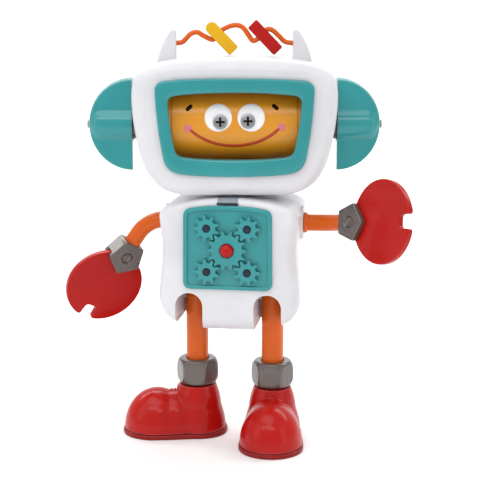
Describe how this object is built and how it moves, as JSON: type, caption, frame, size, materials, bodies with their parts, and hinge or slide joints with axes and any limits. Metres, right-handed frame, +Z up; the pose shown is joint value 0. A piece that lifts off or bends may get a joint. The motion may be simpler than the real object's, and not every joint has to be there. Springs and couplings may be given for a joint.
{
  "type": "toy robot",
  "caption": "Standing moulded toy robot with a turning face drum, meshed chest gears, posable arms and legs, swivelling boots and bead spinners on a bent wire.",
  "frame": {"origin": "centre of the bounding box's footprint, on the surface that the boots stand on", "axes": "+Z up; the chest faces -Y; +X runs from the bent-down arm's side to the raised arm's side"},
  "size_m": [0.2928, 0.13, 0.3525],
  "materials": {
    "white_shell": "glossy moulded white",
    "teal_plastic": "glossy moulded teal",
    "orange_plastic": "glossy orange",
    "red_plastic": "semi-gloss red",
    "yellow_plastic": "glossy yellow",
    "amber_drum": "glossy amber with a printed face",
    "grey_nut": "satin warm grey",
    "pale_cap": "pale grey",
    "dark_plastic": "dark blue-grey",
    "steel": "plain zinc-plated steel"
  },
  "bodies": {
    "torso": {"torso_front_shell": "white_shell", "torso_rear_shell": "white_shell", "left_leg_socket": "white_shell", "right_leg_socket": "white_shell", "gear_panel": "teal_plastic", "panel_latch": "dark_plastic", "neck_spool": "grey_nut", "hip_axle": "steel", "gear_pin_upper_left": "dark_plastic", "gear_pin_upper_right": "dark_plastic", "gear_pin_lower_left": "dark_plastic", "gear_pin_lower_right": "dark_plastic", "torso_screw_upper_left": "steel", "torso_screw_upper_right": "steel", "torso_screw_lower_left": "steel", "torso_screw_lower_right": "steel"},
    "head": {"head_front_shell": "white_shell", "head_rear_shell": "white_shell", "window_bezel": "teal_plastic", "left_drum_bushing": "grey_nut", "right_drum_bushing": "grey_nut", "antenna_wire": "orange_plastic", "head_screw_upper_left": "steel", "head_screw_upper_right": "steel", "head_screw_lower_left": "steel", "head_screw_lower_right": "steel"},
    "drum": {"face_drum": "amber_drum", "drum_axle": "steel", "left_ear": "teal_plastic", "right_ear": "teal_plastic", "left_ear_cap": "pale_cap", "right_ear_cap": "pale_cap"},
    "yellow_bead": {"yellow_bead": "yellow_plastic"},
    "red_bead": {"red_bead": "red_plastic"},
    "center_gear": {"center_gear": "teal_plastic", "center_gear_knob": "red_plastic"},
    "gear_upper_left": {"gear_upper_left": "teal_plastic"},
    "gear_upper_right": {"gear_upper_right": "teal_plastic"},
    "gear_lower_left": {"gear_lower_left": "teal_plastic"},
    "gear_lower_right": {"gear_lower_right": "teal_plastic"},
    "left_arm": {"left_arm_tube": "orange_plastic", "left_shoulder_clip": "dark_plastic"},
    "right_arm": {"right_arm_tube": "orange_plastic", "right_shoulder_clip": "dark_plastic"},
    "left_hand": {"left_wrist_nut": "grey_nut", "left_wrist_pin": "grey_nut", "left_hand_disc": "red_plastic"},
    "right_hand": {"right_wrist_nut": "grey_nut", "right_wrist_pin": "grey_nut", "right_hand_disc": "red_plastic"},
    "left_leg": {"left_leg_tube": "orange_plastic", "left_ankle_nut": "grey_nut", "left_ankle_retainer": "dark_plastic"},
    "right_leg": {"right_leg_tube": "orange_plastic", "right_ankle_nut": "grey_nut", "right_ankle_retainer": "dark_plastic"},
    "left_foot": {"left_boot_upper": "red_plastic", "left_boot_sole": "red_plastic"},
    "right_foot": {"right_boot_upper": "red_plastic", "right_boot_sole": "red_plastic"}
  },
  "joints": [
    {"name": "head_turn", "type": "hinge", "parent": "torso", "child": "head", "pos_m": [-0.00216, 0.01471, 0.211], "axis": [0, 0, 1], "range_deg": [-98.5, 81.5]},
    {"name": "drum_spin", "type": "hinge", "parent": "head", "child": "drum", "pos_m": [-0.00216, 0.01471, 0.2672], "axis": [0.989, 0.1478, 0], "continuous": true},
    {"name": "yellow_bead_spin", "type": "hinge", "parent": "head", "child": "yellow_bead", "pos_m": [-0.01561, 0.0127, 0.3403], "axis": [0.7114, 0.1063, 0.6947], "continuous": true},
    {"name": "red_bead_spin", "type": "hinge", "parent": "head", "child": "red_bead", "pos_m": [0.02019, 0.01805, 0.3403], "axis": [0.7114, 0.1063, 0.6947], "continuous": true},
    {"name": "left_shoulder", "type": "hinge", "parent": "torso", "child": "left_arm", "pos_m": [-0.06056, 0.01471, 0.1857], "axis": [1, 0, 0], "range_deg": [-105, 95]},
    {"name": "right_shoulder", "type": "hinge", "parent": "torso", "child": "right_arm", "pos_m": [0.05624, 0.01471, 0.1857], "axis": [1, 0, 0], "range_deg": [-3, 197]},
    {"name": "left_wrist_swivel", "type": "hinge", "parent": "left_arm", "child": "left_hand", "pos_m": [-0.09774, 0.01471, 0.15424], "axis": [-0.5592, 0, -0.829], "continuous": true},
    {"name": "right_wrist_swivel", "type": "hinge", "parent": "right_arm", "child": "right_hand", "pos_m": [0.10068, -0.01423, 0.19185], "axis": [0.6691, -0.7269, 0.1545], "continuous": true},
    {"name": "left_hip", "type": "hinge", "parent": "torso", "child": "left_leg", "pos_m": [-0.03466, 0.01471, 0.12], "axis": [1, 0, 0], "range_deg": [-90, 5]},
    {"name": "right_hip", "type": "hinge", "parent": "torso", "child": "right_leg", "pos_m": [0.03034, 0.01471, 0.12], "axis": [1, 0, 0], "range_deg": [-90, 5]},
    {"name": "left_ankle", "type": "hinge", "parent": "left_leg", "child": "left_foot", "pos_m": [-0.03466, 0.01471, 0.043], "axis": [0, 0, 1], "range_deg": [-20, 80]},
    {"name": "right_ankle", "type": "hinge", "parent": "right_leg", "child": "right_foot", "pos_m": [0.03034, 0.01471, 0.043], "axis": [0, 0, 1], "range_deg": [-5, 95]},
    {"name": "center_gear_spin", "type": "hinge", "parent": "torso", "child": "center_gear", "pos_m": [-0.00216, -0.02929, 0.1687], "axis": [0, 1, 0], "continuous": true},
    {"name": "gear_upper_left_spin", "type": "hinge", "parent": "torso", "child": "gear_upper_left", "pos_m": [-0.01876, -0.02929, 0.1866], "axis": [0, 1, 0], "continuous": true},
    {"name": "gear_upper_right_spin", "type": "hinge", "parent": "torso", "child": "gear_upper_right", "pos_m": [0.01444, -0.02929, 0.1866], "axis": [0, 1, 0], "continuous": true},
    {"name": "gear_lower_left_spin", "type": "hinge", "parent": "torso", "child": "gear_lower_left", "pos_m": [-0.01876, -0.02929, 0.1508], "axis": [0, 1, 0], "continuous": true},
    {"name": "gear_lower_right_spin", "type": "hinge", "parent": "torso", "child": "gear_lower_right", "pos_m": [0.01444, -0.02929, 0.1508], "axis": [0, 1, 0], "continuous": true}
  ],
  "couplings": [
    {"joint": "gear_upper_left_spin", "follows": "center_gear_spin", "ratio": -1.5556},
    {"joint": "gear_upper_right_spin", "follows": "center_gear_spin", "ratio": -1.5556},
    {"joint": "gear_lower_left_spin", "follows": "center_gear_spin", "ratio": -1.5556},
    {"joint": "gear_lower_right_spin", "follows": "center_gear_spin", "ratio": -1.5556}
  ]
}
